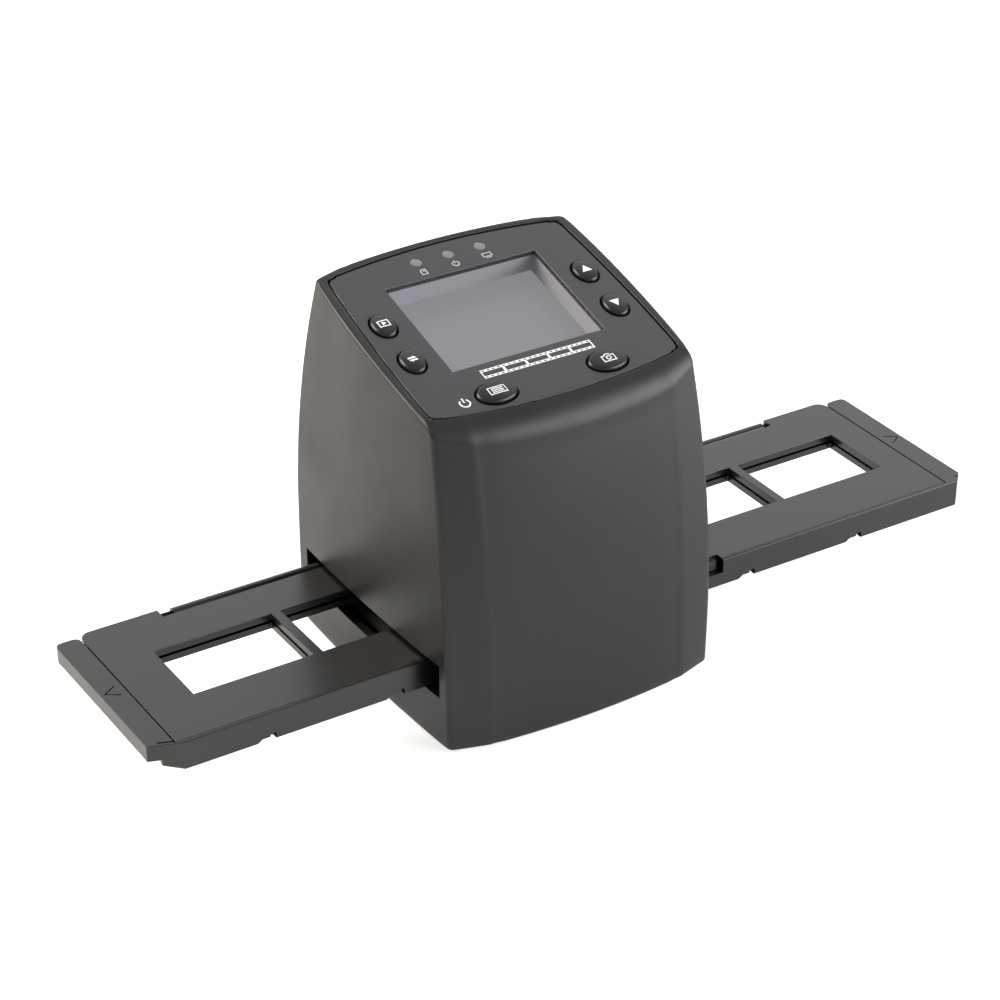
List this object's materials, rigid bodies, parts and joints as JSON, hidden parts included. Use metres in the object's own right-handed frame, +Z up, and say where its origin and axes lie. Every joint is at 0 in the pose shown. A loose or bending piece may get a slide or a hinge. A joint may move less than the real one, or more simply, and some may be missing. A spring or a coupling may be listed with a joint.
{
  "type": "film negative scanner",
  "caption": "Desktop film scanner: bowed black housing with a tilted display panel, press buttons and indicator lights, and a hinged film holder sliding through it from side to side.",
  "frame": {"origin": "on the table under the housing, on the film's centre line, halfway between the side walls", "axes": "+X along the film holder's slide to the right as seen from the front, +Y to the back, +Z up"},
  "size_m": [0.2635, 0.0904, 0.1106],
  "materials": {
    "housing_plastic": "finely textured black moulding",
    "base_plastic": "plain black moulding",
    "panel_plastic": "satin dark grey moulding",
    "window_acrylic": "clear acrylic window",
    "button_plastic": "polished black moulding",
    "light_pipe": "frosted clear plastic",
    "led_package": "pale moulded resin",
    "circuit_board": "green solder mask",
    "chip_resin": "moulded black resin",
    "connector_plastic": "ivory nylon",
    "switch_plastic": "black nylon",
    "plunger_plastic": "red acetal",
    "steel": "plain steel",
    "tinned_steel": "tinned pressed steel",
    "gasket_rubber": "dark foam rubber",
    "foot_rubber": "black rubber",
    "display_glass": "dark liquid crystal cell",
    "ribbon_film": "amber polyimide",
    "lead_jacket": "black insulated lead",
    "inner_plastic": "light absorbing black moulding",
    "lens_mount": "black anodised aluminium",
    "optical_glass": "coated optical glass",
    "filter_glass": "coated filter glass",
    "sensor_glass": "ceramic package with a glass lid",
    "white_plastic": "white reflective moulding",
    "opal_plastic": "opal acrylic",
    "holder_plastic": "satin black moulding"
  },
  "bodies": {
    "scanner": {"upper_housing": "housing_plastic", "base_plate": "base_plastic", "rubber_pad": "foot_rubber", "base_screws": "steel", "control_panel": "panel_plastic", "window_lens": "window_acrylic", "indicator_lights": "light_pipe", "key_switches": "switch_plastic", "key_board": "circuit_board", "key_board_screws": "steel", "indicator_leds": "led_package", "display_module": "display_glass", "display_frame": "tinned_steel", "display_gasket": "gasket_rubber", "main_board": "circuit_board", "main_board_screws": "steel", "processor_chip": "chip_resin", "memory_chip": "chip_resin", "board_connectors": "connector_plastic", "card_socket": "tinned_steel", "usb_socket": "tinned_steel", "key_ribbon": "ribbon_film", "sensor_ribbon": "ribbon_film", "light_lead": "lead_jacket", "optical_frame": "inner_plastic", "frame_screws": "steel", "sensor_board": "circuit_board", "sensor_screws": "steel", "image_sensor": "sensor_glass", "lens_holder": "inner_plastic", "lens_barrel": "lens_mount", "lens_glass": "optical_glass", "infrared_filter": "filter_glass", "tray_guide": "inner_plastic", "guide_screws": "steel", "detent_spring": "steel", "light_box": "white_plastic", "light_board": "white_plastic", "light_leds": "led_package", "light_diffuser": "opal_plastic"},
    "film_tray": {"holder_base": "holder_plastic", "hinge_pins": "steel"},
    "film_lid": {"holder_lid": "holder_plastic"},
    "play_key": {"play_button": "button_plastic", "play_plunger": "plunger_plastic"},
    "flip_key": {"flip_button": "button_plastic", "flip_plunger": "plunger_plastic"},
    "up_key": {"up_button": "button_plastic", "up_plunger": "plunger_plastic"},
    "down_key": {"down_button": "button_plastic", "down_plunger": "plunger_plastic"},
    "menu_key": {"menu_button": "button_plastic", "menu_plunger": "plunger_plastic"},
    "capture_key": {"capture_button": "button_plastic", "capture_plunger": "plunger_plastic"}
  },
  "joints": [
    {"name": "tray_slide", "type": "slide", "parent": "scanner", "child": "film_tray", "axis": [1, 0, 0], "range_m": [-0.188, 0.166]},
    {"name": "lid_hinge", "type": "hinge", "parent": "film_tray", "child": "film_lid", "pos_m": [0, 0.0283, 0.0233], "axis": [-1, 0, 0], "range_deg": [0, 0.7]},
    {"name": "play_press", "type": "slide", "parent": "scanner", "child": "play_key", "axis": [0, 0.2622, -0.965], "range_m": [0, 0.0006], "stiffness_N_per_m": 400},
    {"name": "flip_press", "type": "slide", "parent": "scanner", "child": "flip_key", "axis": [0, 0.2622, -0.965], "range_m": [0, 0.0006], "stiffness_N_per_m": 400},
    {"name": "up_press", "type": "slide", "parent": "scanner", "child": "up_key", "axis": [0, 0.2622, -0.965], "range_m": [0, 0.0006], "stiffness_N_per_m": 400},
    {"name": "down_press", "type": "slide", "parent": "scanner", "child": "down_key", "axis": [0, 0.2622, -0.965], "range_m": [0, 0.0006], "stiffness_N_per_m": 400},
    {"name": "menu_press", "type": "slide", "parent": "scanner", "child": "menu_key", "axis": [0, 0.2622, -0.965], "range_m": [0, 0.0006], "stiffness_N_per_m": 400},
    {"name": "capture_press", "type": "slide", "parent": "scanner", "child": "capture_key", "axis": [0, 0.2622, -0.965], "range_m": [0, 0.0006], "stiffness_N_per_m": 400}
  ]
}
